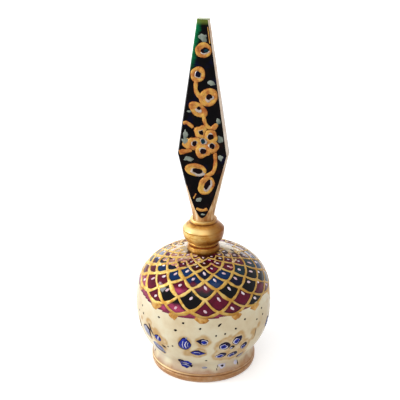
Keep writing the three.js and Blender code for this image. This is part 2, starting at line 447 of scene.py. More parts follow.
def throughPoints(points):
    # A smooth path through a few points
    def path(t):
        reach = t * (len(points) - 1)
        i = min(int(reach), len(points) - 2)
        u = reach - i
        near = points[max(0, i - 1)], points[i], points[i + 1], points[min(len(points) - 1, i + 2)]
        return tuple(
            0.5 * (2 * b + (c - a) * u + (2 * a - 5 * b + 4 * c - d) * u * u + (3 * b - a - 3 * c + d) * u**3)
            for a, b, c, d in zip(*near)
        )

    return path


def line(bm, place, points, width, lift=0.02):
    stroke(bm, place, throughPoints(points), width, steps=10, across=3, lift=lift, rise=0.05, taper=0.3)


# Foot ring

foot = {
    "radius": 18,
    "bottomRadius": 16.8,
    "inner": 14.7,
    "height": 3.6,
    "bead": 0.65,
    "grooveDepth": 0.35,
    "grooveHalf": 0.3,
    "band": 0.25,
    "paintedLight": {  # x across which painted shade comes in from the left to the right side, then height and half width of bands of painted highlight and of painted shade
        "side": (-14, 5),
        "highlightBands": ((3.3, 0.34),),
        "darkBands": ((2.65, 0.3), (3.62, 0.1)),
        "rightShade": 0.4,
        "paintedHighlight": (255, 226, 172),
        "brown": (116, 66, 30),
    },
}
footPaints = (226, 200, 164), (192, 148, 102), (152, 98, 52)
footGilt = giltFinish("foot gilt", *footPaints, metal=0.3, spread=0.14, paintedLight=foot["paintedLight"])


def makeFoot():
    r, low, top = foot["radius"], foot["bottomRadius"], foot["height"]
    grooveAt = top - foot["bead"] - foot["grooveHalf"]
    roundTop = grooveAt - foot["grooveHalf"] - foot["band"]
    outline = [(foot["inner"], 0)]
    for i in range(13):
        share = i / 12
        outline.append((low + (r - low) * quarter(1 - share, 2), roundTop * share))
    for i in range(9):
        t = i / 4 - 1
        dip = foot["grooveDepth"] * (0.5 + 0.5 * math.cos(math.pi * t))
        outline.append((r - dip, grooveAt + foot["grooveHalf"] * t))
    outline += [(r - 0.04, top - 0.25), (r - 0.1, top - 0.08), (r - 0.2, top), (foot["inner"], top)]
    finish(spun(outline, 144), "foot_ring_gilt", [footGilt], "foot_ring", sharp=50)


makeFoot()
print("foot ring ready")

# Bowl: cream paint, gold haze round the flowers

bowl = {
    "sprigs": (-43, 87, 203),  # degrees round the pot
    "buds": (-4, 126, 239),
    "flowers": (35, 165, 275),
    "lipGap": 0.1,
    "lipHeight": 2,
    "near": 0.1,  # dust lies on points this near to the outside, but not on the seam's edge
    "rows": 84,
    "around": 288,
}
hazeSpots = []  # (degrees, height, reach) where gold dust lies round the drawing

flowerPaints = {
    "blue": enamelFinish("blue paint", (30, 48, 160), (12, 20, 96)),
    "navy": enamelFinish("navy outline paint", (14, 12, 52), (30, 14, 34)),
    "white": enamelFinish("white paint", (226, 218, 226), (176, 176, 206)),
    "grey": enamelFinish("grey-blue paint", (84, 98, 150), (158, 158, 172), 0.25),
    "black": enamelFinish("black paint", (14, 8, 8), (34, 18, 14)),
}


def flowerSpot(degrees, height, reach):
    # A place for a motif, with gold dust lying round it
    if reach:
        hazeSpots.append((degrees, height, reach))
    return spotOnBulb(degrees, height)


def ringedPetal(brushes, place, long, tall, turn):
    # Navy outside, white inside and low to the left, blue in the heart with a dark pupil
    inside = (-0.08 * long, -0.08 * tall)
    dab(brushes["navy"], place, (long, tall), turn, wild=0.3)
    dab(brushes["white"], place, (long * 0.68, tall * 0.66), turn, at=inside, lift=0.06, wild=0.5)
    dab(brushes["blue"], place, (long * 0.5, tall * 0.5), turn, at=inside, lift=0.11)
    dab(brushes["navy"], place, (long * 0.2, tall * 0.2), turn, at=inside, lift=0.16, rise=0.04)


def leaf(brushes, paint, place, long, tall, turn, shade="navy"):
    # A pointed leaf with a dark upper outline and a pale streak
    angle = math.radians(turn)
    dab(brushes[shade], place, (long, tall), turn, point=0.85)
    low = turned(0, -0.06 * tall, angle)
    dab(brushes[paint], place, (long * 0.84, tall * 0.78), turn, point=0.85, at=low, lift=0.05)
    streak = [turned(x * long, y * tall, angle) for x, y in ((-0.3, 0.06), (-0.1, 0.1), (0.12, 0.04))]
    line(brushes["white"], place, streak, 0.24, lift=0.1)


def paintSprig(brushes, turn):
    # Two narrow leaves, a dark stroke and a round petal
    navy, blue, white, black = (brushes[name] for name in ("navy", "blue", "white", "black"))
    leaf(brushes, "grey", flowerSpot(turn - 5, 17.4, 2.8), 5.8, 4.2, -53)
    place = flowerSpot(turn + 0.3, 18.9, 2.1)
    line(navy, place, ((-0.8, 2.2), (-0.1, 0.2), (1.1, -2.2)), 0.75)
    place = flowerSpot(turn + 7.7, 16.9, 2.4)
    dab(navy, place, (2.7, 2.9), 60)
    dab(blue, place, (2.4, 2.5), 60, at=(0.1, -0.1), lift=0.06)
    line(white, place, ((0, -0.9), (0.3, 0), (0.7, 0.9)), 0.55, lift=0.12)
    place = flowerSpot(turn + 6.2, 11.8, 2.8)
    leaf(brushes, "grey", place, 5.8, 4.6, -42, shade="grey")
    line(navy, place, ((-2.2, 0.4), (-0.4, -0.7), (1.3, -2)), 0.35, lift=0.1)
    line(navy, place, ((-1.8, 1.3), (0, 0), (1.8, -1.5)), 0.3, lift=0.1)
    dab(black, flowerSpot(turn + 12.9, 14, 1.9), (2, 0.9), -20, wild=0.6)
    for away, height in ((8.2, 19.6), (15.6, 16.3), (-1.5, 21.5)):
        hazeSpots.append((turn + away, height, 1.7))


def paintBud(brushes, turn):
    # A striped bud with an eye petal and two leaves
    navy, blue, white, grey = (brushes[name] for name in ("navy", "blue", "white", "grey"))
    place = flowerSpot(turn - 4.3, 17.5, 3)
    dab(navy, place, (5, 4.7), 92, point=0.34, wild=0.2)
    dab(blue, place, (4.3, 4.1), 92, point=0.34, at=(0.05, -0.1), lift=0.05, wild=0.2)
    line(white, place, ((-0.5, -1.9), (-0.75, -0.4), (-0.4, 1.3)), 0.24, lift=0.12)
    line(white, place, ((0.5, -1.7), (0.15, -0.3), (0.8, 1.3)), 0.3, lift=0.12)
    line(grey, place, ((1.2, -1.2), (1, -0.1), (1.3, 0.9)), 0.3, lift=0.12)
    dab(grey, place, (0.9, 0.7), 40, at=(0.7, 2.4))
    place = flowerSpot(turn + 11, 18.8, 2.9)
    eye = (0.4, -0.1)
    dab(navy, place, (3.8, 2.8), 168, point=0.5)
    dab(white, place, (2.5, 2), -15, at=eye, lift=0.06)
    dab(navy, place, (1.9, 1.5), -15, at=eye, lift=0.1, rise=0.05)
    dab(blue, place, (1.5, 1.2), -15, at=eye, lift=0.14, rise=0.05)
    leaf(brushes, "blue", flowerSpot(turn + 7.3, 14, 2.8), 5.3, 2.5, -2)
    hazeSpots.append((turn - 3, 13.5, 2))
    place = flowerSpot(turn - 8.4, 7.4, 1.2)
    dab(blue, place, (4.4, 4.8), -35, lift=0.12, wild=0.7)
    line(navy, place, ((-1.9, 0), (-1.8, 1.9), (-0.1, 2)), 0.8, lift=0.2)
    line(navy, place, ((-1.2, -0.6), (0.1, -0.1), (1.5, -0.9)), 0.6, lift=0.2)
    line(grey, place, ((-1.3, -1.3), (0.2, -1.1), (1.4, -1.7)), 0.6, lift=0.2)
    line(white, place, ((-0.8, 0.5), (0.2, 0.3), (1.1, -0.3)), 0.4, lift=0.22)
    line(white, place, ((-0.5, -1), (0.1, -0.9), (0.8, -1.5)), 0.3, lift=0.22)
    dab(navy, place, (1.5, 1), 10, at=(1.8, -1.2), lift=0.12, wild=0.6)


def paintFlower(brushes, turn):
    # An open flower of ringed petals, with marks under it on the pedestal
    black, white = brushes["black"], brushes["white"]
    for away, height, long, tall, lean in (
        (-9.2, 16.5, 4.1, 3.2, 0), (2.6, 17.8, 3.8, 3.2, 35), (11, 14.3, 3.1, 2.7, 40),
        (-11, 12.2, 3.7, 2.8, 22), (0.9, 11.6, 4.1, 2.6, 12),
    ):
        ringedPetal(brushes, flowerSpot(turn + away, height, long * 0.5 + 1.6), long, tall, lean)
    place = flowerSpot(turn - 1.8, 15.2, 2.6)
    dab(black, place, (2.1, 1.6), 30)
    dab(white, place, (1, 0.7), 40, at=(-0.3, -0.1), lift=0.07)
    leaf(brushes, "grey", flowerSpot(turn + 12, 9.6, 2.4), 3.2, 2.4, 55)
    place = flowerSpot(turn - 5.6, 5.9, 0)
    dab(white, place, (3, 1.9), 5, lift=0.06, wild=0.7)
    dab(black, place, (1.2, 0.9), 15, lift=0.14, wild=0.6)
    dab(white, flowerSpot(turn + 12.1, 5.6, 0), (1.9, 1.5), 80)
    line(black, flowerSpot(turn + 14.9, 5.2, 0), ((0, -0.9), (0.1, 0), (0, 1)), 0.35)
    for away, height, long in ((-11.2, 5.9, 1.1), (-12.4, 4.8, 0.9), (22.5, 18, 3.2)):
        line(black, flowerSpot(turn + away, height, 0), ((0, -long / 2), (0.05, 0), (0, long / 2)), 0.25)
    dab(brushes["grey"], flowerSpot(turn - 26.2, 5.7, 0), (2, 0.8), 0)
    for away, height, reach in (
        (19.7, 18.8, 1.9), (20.5, 16.6, 1.4), (27, 20.6, 1.3), (5, 14.4, 2.6), (-4, 19.2, 1.6),
    ):
        hazeSpots.append((turn + away, height, reach))


def makeFlowers():
    brushes = {name: bmesh.new() for name in flowerPaints}
    for paint, kind in ((paintSprig, "sprigs"), (paintBud, "buds"), (paintFlower, "flowers")):
        for turn in bowl[kind]:
            paint(brushes, turn)
    for name, bm in brushes.items():
        finishPaint(bm, f"bowl_flowers_{name}", flowerPaints[name], "lower_bowl")


specks = {  # degrees, height, length and turn of the black specks in one third of the band
    "marks": (
        (-53, 23.3, 0.8, 60), (-32, 25.3, 0.9, 20), (-16, 22.3, 1.2, 10), (-9, 25.4, 0.9, 0),
        (5, 23.8, 0.9, 30), (21, 24.9, 1.5, 40), (25.5, 21.3, 0.7, 0), (18, 21, 0.6, 0), (35, 22.5, 0.8, 80),
        (44, 25, 0.8, 0), (58, 22.9, 0.7, 90), (65, 25.9, 0.7, 90), (-20, 15.5, 0.7, 0), (-25, 14.6, 0.6, 90),
        (10.4, 9.9, 0.8, 10),
    ),
    "wide": 0.78,
    "repeats": 3,
}


def makeSpecks():
    bm = bmesh.new()
    for third in range(specks["repeats"]):
        for degrees, height, long, turn in specks["marks"]:
            place = spotOnBulb(degrees + third * 360 / specks["repeats"], height)
            dab(bm, place, (long, specks["wide"]), turn, sides=12, lift=0.01, rise=0.04)
    finishPaint(bm, "bowl_specks", flowerPaints["black"], "lower_bowl")


def creamColor(tree, point):
    cloud = noiseAt(tree, point, 120, detail=6, roughness=0.6)
    return paintRamp(tree, cloud, (0.3, (208, 188, 152)), (0.5, (220, 206, 174)), (0.75, (226, 221, 198)))


def creamFinish():
    # Cream ground under lacquer, with the dust that the brush left
    material, tree = newMaterial("cream ground")
    point = objectPoint(tree)
    dust = addNode(tree, "ShaderNodeAttribute", attribute_name="dust").outputs
    grain = fade(tree, noiseAt(tree, point, 900, detail=5, roughness=0.7), 0, 1, 0.5, 1.2)
    amount = mathNode(tree, "MULTIPLY", dust["Alpha"], grain)
    color = mixColors(tree, amount, creamColor(tree, point), dust["Color"])
    looks = {"Base Color": color, "Roughness": 0.4, **lacquer}
    setShader(tree, looks, (noiseAt(tree, point, 260), 0.12, 0.25))
    return material


dusts = {"gold": linear(186, 144, 84), "bleed": linear(168, 112, 68), "grey": linear(178, 150, 132)}


dusting = {
    "rim": 0.7,  # the gold fades out over this along its rim
    "rimEnd": 0.9,  # so far in from the rim it starts to thin out
    "turn": 20,  # degrees from which the gold lies thicker, a quarter turn before its thickest place
    # gold dust on the right side, partly painted warm shade and a painted reflection there
    "rightDustAndShade": 0.24,
    "bleed": 1.3,  # how high the gilt runs up from the foot ring, and how much higher it runs on the right side, which is painted shade and a painted reflection of the ring
    "bleedAndShadeSide": 1.8,
    "bleedFade": 2.6,
    "greyTop": 6,
}


def dustAt(point):
    # Colour and amount of the dust at a point: gold round the flowers, gilt above the foot ring, grey patches
    # low on the pedestal, and on the right side more gold and higher gilt, partly painted warm shade and a
    # painted reflection of the ring
    radius = math.hypot(point.x, point.y)
    turn = math.degrees(math.atan2(point.x, -point.y))
    near, wander = 0, noise.noise(point * 0.42)
    for degrees, height, reach in hazeSpots:
        around = math.radians((turn - degrees + 180) % 360 - 180) * radius
        near = max(near, reach - math.hypot(around, point.z - height) + wander)
    gold = min(1, near / dusting["rim"]) * (1 - 0.5 * max(0, min(1, near / dusting["rimEnd"] - 1)))
    # On the right side more gold lies and the gilt runs higher: partly gold dust, partly painted warm shade
    # and a painted reflection of the foot ring
    side = max(0, math.sin(math.radians(turn - dusting["turn"])))
    rightDustAndShade = dusting["rightDustAndShade"] * side * max(0, 0.7 + noise.noise(point * 0.2))
    up = point.z - pedestal["bottom"]
    drawn = Vector((point.x, point.y, point.z * 0.3))  # what is brushed upwards
    bleedTop = dusting["bleed"] + dusting["bleedAndShadeSide"] * side + 1.1 * noise.noise(drawn * 0.42)
    # Grey patches low on the pedestal, fading out upwards
    greyPatch = noise.noise(drawn * 0.26) * 1.5 + 0.25
    shares = {
        "gold": gold * (1 + 0.5 * noise.noise(point * 0.9)) + rightDustAndShade,
        "bleed": max(0, min(1, (bleedTop - up) / dusting["bleedFade"])),
        "grey": max(0, min(0.75, greyPatch)) * max(0, 1 - up / dusting["greyTop"]),
    }
    total = sum(shares.values())
    if not total:
        return (*dusts["gold"], 0)
    color = [sum(share * dusts[kind][i] for kind, share in shares.items()) / total for i in range(3)]
    return (*color, min(1, total))


def chamberCurve(fromZ, toZ, steps):
    heights = [fromZ + (toZ - fromZ) * math.sin(i / steps * math.pi / 2) for i in range(steps + 1)]
    return [(chamberRadius(z), z) for z in heights]


def makeBowl():
    seam, spigot, under, bottom = pot["seam"], pedestal["spigot"], pedestal["underside"], pedestal["bottom"]
    lipRadius, lipTop = outsideRadius(seam) - pot["wall"] / 2 - bowl["lipGap"], seam + bowl["lipHeight"]
    outline = [(0, under), (spigot, under), (spigot, bottom)]
    outline += [bulbAt(bulbWay(seam) * i / bowl["rows"])[:2] for i in range(bowl["rows"] + 1)]
    outline += [(lipRadius, seam), (lipRadius, lipTop), (chamberRadius(lipTop), lipTop)]
    outline += [(chamberRadius(seam), seam), *chamberCurve(pot["middle"], pot["floor"], 14)[:-1]]
    bm = spun(outline + [(0, pot["floor"])], bowl["around"])
    layer = bm.verts.layers.float_color.new("dust")
    for vert in bm.verts:
        inward = outsideRadius(max(vert.co.z, bottom)) - vert.co.xy.length
        isDusty = inward < bowl["near"] < seam - vert.co.z
        vert[layer] = dustAt(vert.co) if isDusty else (*dusts["gold"], 0)
    finish(bm, "lower_bowl_painted", [creamFinish()], "lower_bowl", sharp=40)


makeFlowers()
makeSpecks()
makeBowl()
print("bowl ready")

# Dome: a net of gold scallops over painted scales

net = {
    "columns": 15,
    "phase": -15.2,  # degrees of a scale in the lowest row
    "bottom": 0.25,  # from the seam to the seam row's tips
    "firstStep": 2,  # from there to the next row
    "secondStep": 4.2,
    "shrink": 0.865,
    "rows": 10,
    "line": 1.06,
    "curve": 1.55,
    "wander": 0.28,
    "swag": 3.45,  # the rose edge hangs lower in front and behind than at the sides
    "swagLean": -0.75,
    "leftUp": (1.8, 1.6, 1.7, 1, 0.9, 0.6, 0.4, 0.2, 0, 0, 0),  # how far the hand drifted in each row
    "rightDown": (0.7, 1.3, 2.1, 2.2, 2.1, 1.6, 1, 0.5, 0.2, 0, 0),
}
# Paints of the scales of each row, from the seam up, one letter for each column
rowPaints = (
    "KmmkmrMmkrkMmrm",
    "kmmmkmmkmmkmmmk",
    "MDkkkmDmkmDmkmm",
    "BbnkbBbnbBbnBbb",
    "bnbttbnbtbnbbnn",
    "dmmmdmmdmmmdmpm",
    "mdmmdsmrdmmsspp",
    "pmddsssmdmssspp",
    "mddmdsspdmssssp",
    "ddmdpssddmsssdp",
)
paints = {
    "r": (164, 58, 94),
    "m": (96, 10, 40),
    "b": (0, 40, 86),
    "n": (2, 8, 38),
    "t": (6, 42, 54),
    "k": (4, 2, 4),
    "d": (72, 26, 18),
    "p": (190, 134, 118),
    "s": (206, 180, 144),
}
# Upper and lower paint of a scale, and how far up the lower one reaches
twoPaints = {"K": ("k", "r", 0.55), "M": ("m", "r", 0.2), "D": ("m", "k", 0.3), "B": ("b", "m", 0.15)}


def edgeHang(turn):
    # How much higher than in front the painted edge lies at a turn
    side = math.sin(turn)
    return abs(side) ** 2.5 * (net["swag"] + net["swagLean"] * side)


def netWays():
    seamWay = bulbWay(pot["seam"]) + net["bottom"]
    ways = [seamWay, seamWay + net["firstStep"]]
    for row in range(net["rows"] - 1):
        ways.append(ways[-1] + net["secondStep"] * net["shrink"] ** row)
    return ways


random.seed(11)
tipWays = netWays()
tips = []  # tips[row][column] is (turn in radians, way); each a little off, as a hand leaves it
for row, way in enumerate(tipWays):
    wander = net["wander"] * (1 if row < 6 else 0.8)
    tips.append([])
    for column in range(net["columns"]):
        degrees = net["phase"] + 360 / net["columns"] * (column + 0.5 * (row % 2))
        off = random.uniform(-1, 1) * wander
        turn = math.radians(degrees) + random.uniform(-1, 1) * wander / bulbAt(way)[0]
        drift = net["leftUp" if turn % (2 * math.pi) > math.pi else "rightDown"][row]
        hang = edgeHang(turn) * max(0, 1 - row / 4) - drift * math.sin(turn)
        tips[row].append((turn, way + off + hang))


def unwound(turn, near):
    return near + (turn - near + math.pi) % (2 * math.pi) - math.pi


def scallopEnds(row, column):
    # Left end, tip and right end of one scallop, which hangs from two tips of the row above
    turn, way = tips[row][column]
    ends = []
    for shift in (-1, 0):
        endTurn, endWay = tips[row + 1][(column + shift + row % 2) % net["columns"]]
        ends.append((unwound(endTurn, turn), endWay))
    return ends[0], (turn, way), ends[1]


def scallop(row, column):
    left, tip, right = scallopEnds(row, column)

    def path(t):
        x = 2 * t - 1
        end = left if x < 0 else right
        return tip[0] + (end[0] - tip[0]) * abs(x), tip[1] + (end[1] - tip[1]) * abs(x) ** net["curve"]

    return path


def lineWay(row, turn):
    # Way of a row's net line at a turn, and its column
    for column in range(net["columns"]):
        left, tip, right = scallopEnds(row, column)
        here = unwound(turn, tip[0])
        if left[0] <= here <= right[0]:
            end = left if here < tip[0] else right
            share = min(1, abs((here - tip[0]) / (end[0] - tip[0])))
            return tip[1] + (end[1] - tip[1]) * share ** net["curve"], column
    return tipWays[row], 0


def scalePaint(turn, way):
    # Colour of the paint at a place and how thick it lies on the cream: a scale is darker along its rim
    edge = tipWays[0] + edgeHang(turn) - 0.3  # the rose band's lower edge
    if way < edge:
        return paints["r"], 0
    letter, below, above = "r", edge, tipWays[0]
    for row in range(net["rows"]):
        higher, column = lineWay(row, turn)
        if way < higher:
            above = higher
            break
        letter, below, above = rowPaints[row][column], higher, higher + 4
    share = (way - below) / max(above - below, 0.1) + 0.3 * noise.noise(Vector((turn * 9, way * 0.4, 0)))
    upper, lower, reach = twoPaints.get(letter, (letter, letter, 0))
    blend = max(0, min(1, (share - reach) / 0.3))
    rim = 0.62 + 0.38 * min(1, min(way - below, max(0, above - way)) / 1.3)
    color = tuple((a * blend + b * (1 - blend)) * rim for a, b in zip(paints[upper], paints[lower]))
    return color, 0.45 if letter == "s" else 1


def domeFinish():
    # Scale paints from the paint attribute, clouded by hand, under thick clear lacquer
    material, tree = newMaterial("scale paint")
    point = objectPoint(tree)
    paint = addNode(tree, "ShaderNodeAttribute", attribute_name="paint").outputs
    cloud = noiseAt(tree, point, 380, detail=5, roughness=0.6)
    shade = ramp(tree, cloud, (0.3, (0.5, 0.5, 0.5)), (0.5, (0.9, 0.9, 0.9)), (0.72, (1.35, 1.3, 1.3)))
    scales = mixColors(tree, 1, paint["Color"], shade, "MULTIPLY")
    color = mixColors(tree, paint["Alpha"], creamColor(tree, point), scales)
    looks = {"Base Color": color, "Roughness": 0.45, **lacquer, "Coat Weight": 1, "Specular IOR Level": 0.01}
    setShader(tree, looks, (noiseAt(tree, point, 200, detail=2), 0.3, 0.25))
    return material


neck = {"seat": 5.55, "sink": 0.5, "hole": 4.4}
dome = {"rebate": 2.1, "rows": 64, "aroundEach": 18}


def makeDome():
    seam, wall = pot["seam"], pot["wall"]
    rebateRadius, rebateTop = outsideRadius(seam) - wall / 2, seam + dome["rebate"]
    fromWay, toWay = bulbWay(seam), bulbWay(crownHeight(neck["seat"]))
    outline = [(rebateRadius, seam)]
    outline += [bulbAt(fromWay + (toWay - fromWay) * i / dome["rows"])[:2] for i in range(dome["rows"] + 1)]
    seatZ = crownHeight(neck["seat"] - 0.1) - neck["sink"]
    outline += [(neck["seat"], seatZ), (neck["hole"], seatZ)]
    ceiling = crownHeight(neck["hole"], wall)
    outline += reversed(chamberCurve(rebateTop, ceiling, 14))
    bm = spun(outline + [(rebateRadius, rebateTop)], net["columns"] * dome["aroundEach"])
    mesh = finish(bm, "upper_dome_painted", [domeFinish()], "upper_dome", sharp=40).data
    attribute = mesh.color_attributes.new("paint", "FLOAT_COLOR", "CORNER")
    for face in mesh.polygons:
        center = face.center / mm
        color, thick = scalePaint(math.atan2(center.x, -center.y), bulbWay(center.z))
        for corner in face.loop_indices:
            attribute.data[corner].color = (*linear(*color), thick)


# Painted shade browns the net lines towards the right side; they also turn darker in a broad band low on the
# dome
lineGold = goldLineFinish("gold line paint", (242, 212, 130), (228, 188, 98), (202, 152, 66), paintedLight={
    "side": (-14, 22),
    "highlightBands": (),
    "darkBands": ((26.6, 3.8),),
    "rightShade": 0.55,
    "brown": (134, 84, 30),
})


def makeNet():
    bm = bmesh.new()
    random.seed(21)
    for row in range(net["rows"]):
        rowWidth = net["line"] * (1 if row < 4 else max(0.55, 1 - 0.09 * (row - 3)))
        for column in range(net["columns"]):
            start = random.uniform(0, 10)
            faint = 0.55 if rowPaints[row][column] == "s" else 0.2
            if row > 6 and random.random() < faint:
                continue  # up at the neck the brush left some out
            width = rowWidth * (0.95 - 0.2 * math.sin(tips[row][column][0]))

            def brush(t):
                return width * (1 + 0.5 * noise.noise(Vector((start, t * 3, row))))

            stroke(bm, aroundBulb, scallop(row, column), brush, steps=18, lift=0.01, rise=0.13)
    finishPaint(bm, "dome_net_gold", lineGold, "upper_dome")


dabWhite = enamelFinish("scale dab paint", (238, 234, 238), (216, 172, 182), 0.3)


def makeScaleDabs():
    bm = bmesh.new()
    random.seed(31)
    for row in range(net["rows"] - 1):
        for column in range(net["columns"]):
            if rowPaints[row][column] == "s" and random.random() < 0.7:
                continue
            turn, way = tips[row][column]
            above = tipWays[row + 1] + way - tipWays[row]
            size = 1.2 if row < 5 else 0.8
            place = spotOnBulb(math.degrees(turn) + random.uniform(-1, 1), bulbAt(above + 0.1)[1])
            long = size * random.uniform(1, 1.5)
            lean = random.uniform(35, 65) * (-1 if math.sin(turn) > 0.1 else 1)
            dab(bm, place, (long, size * 0.7), lean, sides=12, rise=0.05)
    finishPaint(bm, "dome_dabs_white", dabWhite, "upper_dome")


smears = {
    "paints": {
        "pink": ((214, 160, 142), (180, 104, 90)),
        "cream": ((222, 200, 162), (200, 160, 112)),
        "dark": ((70, 24, 20), (40, 12, 14)),
    },
    "each": 26,
    "from": 39.9,
    "to": 41.7,
}


def makeSmears():
    # Up at the neck the net ends in short careless touches
    random.seed(41)
    for name, colors in smears["paints"].items():
        bm = bmesh.new()
        for _ in range(smears["each"]):
            height = random.uniform(smears["from"], smears["to"])
            place = spotOnBulb(random.uniform(0, 360), height)
            size = (random.uniform(0.8, 1.9), random.uniform(0.5, 1))
            lean = random.uniform(-60, 60)
            dab(bm, place, size, lean, sides=10, lift=random.uniform(0.06, 0.12), wild=0.7)
        finishPaint(bm, f"dome_smears_{name}", enamelFinish(f"smear {name}", *colors), "upper_dome")


dustGold = goldLineFinish("dull gold paint", (208, 164, 96), (190, 138, 68), (156, 100, 40))


def makePendants():
    bm = bmesh.new()
    random.seed(51)
    for turn, way in tips[0]:
        place = spotOnBulb(math.degrees(turn) + random.uniform(-4, 3), bulbAt(way - 0.8)[1])
        size = (random.uniform(2.3, 3), random.uniform(3.4, 4.6))
        lean = -90 + random.uniform(-14, 14)
        dab(bm, place, size, lean, sides=18, point=0.5, lift=0.01, rise=0.04, wild=0.4)
    finishPaint(bm, "dome_pendants_gold", dustGold, "upper_dome")


makeDome()
makeNet()
makeScaleDabs()
makeSmears()
makePendants()
print("dome ready")

# Neck ferrule and washer

# Painted light on the collar gilt: painted highlights in bands on the left of the rim top and shoulder,
# painted shade on the right side, in the grooves and where the ferrule meets the dome
gilt = giltFinish("gilt", (240, 208, 130), (204, 150, 70), (140, 84, 28), paintedLight={
    "side": (-2.5, 6.5),
    "highlightBands": ((53.3, 0.3), (50.6, 0.9)),
    "darkBands": ((52.2, 0.3), (49.6, 0.22), (45.25, 0.25), (42.1, 0.5)),
    "rightShade": 0.9,
    "paintedHighlight": (238, 214, 146),
    "brown": (124, 68, 14),
})
ferrule = {"radius": 5.45, "top": 43.9, "bore": 3.3, "tube": 4.3, "length": 6, "round": 0.45, "soft": 0.15}


def makeFerrule():
    r, top, bore, tube = ferrule["radius"], ferrule["top"], ferrule["bore"], ferrule["tube"]
    seatZ = crownHeight(r) - neck["sink"]
    edge, soft = ferrule["round"], ferrule["soft"]
    outline = [(bore, top - ferrule["length"]), (tube, top - ferrule["length"]), (tube, seatZ)]
    outline += [(r - 0.1, seatZ), (r, seatZ + soft), *arc(r - edge, top - edge, edge, 0, 90, 8)]
    outline += [(bore + soft, top), (bore, top - soft)]
    finish(spun(outline, 96), "neck_ferrule_gilt", [gilt], "neck_ferrule", sharp=50)


washer = {"bottom": 43.9, "top": 44.35, "radius": 5.05, "hole": 2.85, "round": 0.22, "soft": 0.12}
leather = enamelFinish("washer leather", (150, 74, 28), (92, 40, 14), coat=0)


def makeWasher():
    low, high, hole, edge = washer["bottom"], washer["top"], washer["hole"], washer["radius"] - washer["soft"]
    rim = arc(washer["radius"] - washer["round"], (low + high) / 2, washer["round"], -75, 75, 4)
    outline = [(hole, low), (edge, low), *rim, (edge, high), (hole, high)]
    finish(spun(outline, 72), "seal_washer_leather", [leather], "seal_washer", sharp=60)


makeFerrule()
makeWasher()

# Stopper: head, stick and finial

head = {
    "bottom": 44.35,
    "top": 53.4,
    "plug": 3.1,
    "plugEnd": 37.7,
    "plugLead": 0.7,
    "undercut": 2.7,
    "bead": 5.2,
    "beadRound": 0.48,
    "nip": 4.9,
    "nipAt": 45.35,
    "knob": 7,
    "edge": 49.85,
    "bowlCurve": 2.3,
    "shoulderCurve": 1.12,
    "rim": 4.5,
    "rimBottom": 52.15,
    "rimFoot": 4.65,
    "rimRound": 0.18,
    "stickBore": 1.25,
    "stickTop": 49.15,
    "socket": 2.7,
    "socketFloor": 50.4,
}


def makeHead():
    h = head
    low, top, seat, bead, rim = h["bottom"], h["top"], ferrule["top"], h["beadRound"], h["rimRound"]
    outline = [(0, h["stickTop"]), (h["stickBore"], h["stickTop"]), (h["stickBore"], h["plugEnd"])]
    outline += [(h["plug"] - h["plugLead"] / 2, h["plugEnd"]), (h["plug"], h["plugEnd"] + h["plugLead"])]
    outline += [(h["plug"], seat), (h["undercut"], seat), (h["undercut"], low)]
    outline += arc(h["bead"] - bead, low + bead, bead, -88, 80, 10)
    outline += [(h["nip"] - 0.12, h["nipAt"] - 0.04)]
    for i in range(17):
        share = (i / 16) ** 1.4
        radius = h["nip"] + (h["knob"] - h["nip"]) * quarter(1 - share, h["bowlCurve"])
        outline.append((radius, h["nipAt"] + (h["edge"] - h["nipAt"]) * share))
    for i in range(1, 17):
        share = i / 16
        radius = h["rimFoot"] + (h["knob"] - h["rimFoot"]) * quarter(share, h["shoulderCurve"])
        outline.append((radius, h["edge"] + (h["rimBottom"] - h["edge"]) * share))
    outline += arc(h["rim"] - 0.1, h["rimBottom"] + 0.16, 0.2, -70, -250, 6)
    outline += [(h["rim"], h["rimBottom"] + 0.38), *arc(h["rim"] - rim, top - rim, rim, 0, 90, 4)]
    outline += [(h["socket"], top), (h["socket"], h["socketFloor"]), (0, h["socketFloor"])]
    finish(spun(outline, 96), "stopper_head_gilt", [gilt], "stopper_head", sharp=22)


stick = {"radius": 1.15, "tip": 1.5, "bottom": 6.2, "top": 49.05, "swell": 7, "tipShare": 0.3}
brass = giltFinish("stick brass", (226, 190, 118), (190, 146, 76), (150, 106, 48), 0.9, (200, 200, 40))


def makeStick():
    r, tipShare = stick["radius"], stick["tipShare"]
    outline = [(0, stick["bottom"])]
    for i in range(1, 25):
        share = i / 24
        nose = math.sqrt(1 - (1 - min(1, share / tipShare)) ** 2)
        swell = 0.5 + 0.5 * math.cos(math.pi * max(0, (share - tipShare) / (1 - tipShare)))
        outline.append(((r + (stick["tip"] - r) * swell) * nose, stick["bottom"] + stick["swell"] * share))
    outline += [(r, stick["top"]), (0, stick["top"])]
    finish(spun(outline, 48), "kohl_stick_brass", [brass], "kohl_stick", sharp=60)


finial = {
    "bottom": 53.4,
    "stem": 3.65,
    "stemTop": 54.6,
    "flare": 4.1,
    "flareTop": 57,
    "widest": 8.45,
    "widestAt": 76.5,
    "soft": 0.9,
    "tip": 2.05,
    "top": 120.5,
    "tipHalf": 1.4,
    "flatFrom": 55,
    "tenon": 2.6,
    "tenonLength": 2.8,
    "olive": (110, 124, 50),  # the very tip
}
faceLean = (finial["stem"] - finial["tipHalf"]) / (finial["top"] - finial["flatFrom"])


def onFace(side):
    # Drawing on a broad face of the finial: side is -1 for the front and 1 for the back; x runs across, z up
    out = Vector((0, side, faceLean)).normalized()

    def place(x, z, lift):
        half = finial["tipHalf"] + (finial["top"] - z) * faceLean
        return Vector((x * -side, side * half, z)) + out * lift

    return place


def leftEdge(tree):
    # How far a place lies from the left edge, as seen from either broad side
    x, y, z = objectAxes(tree)
    across = mathNode(tree, "MULTIPLY", x, mathNode(tree, "SIGN", y))
    slope = (finial["widest"] - finial["tip"]) / (finial["top"] - finial["widestAt"])
    half = mathNode(tree, "MULTIPLY_ADD", z, -slope, finial["tip"] + finial["top"] * slope)
    return mathNode(tree, "SUBTRACT", half, across)


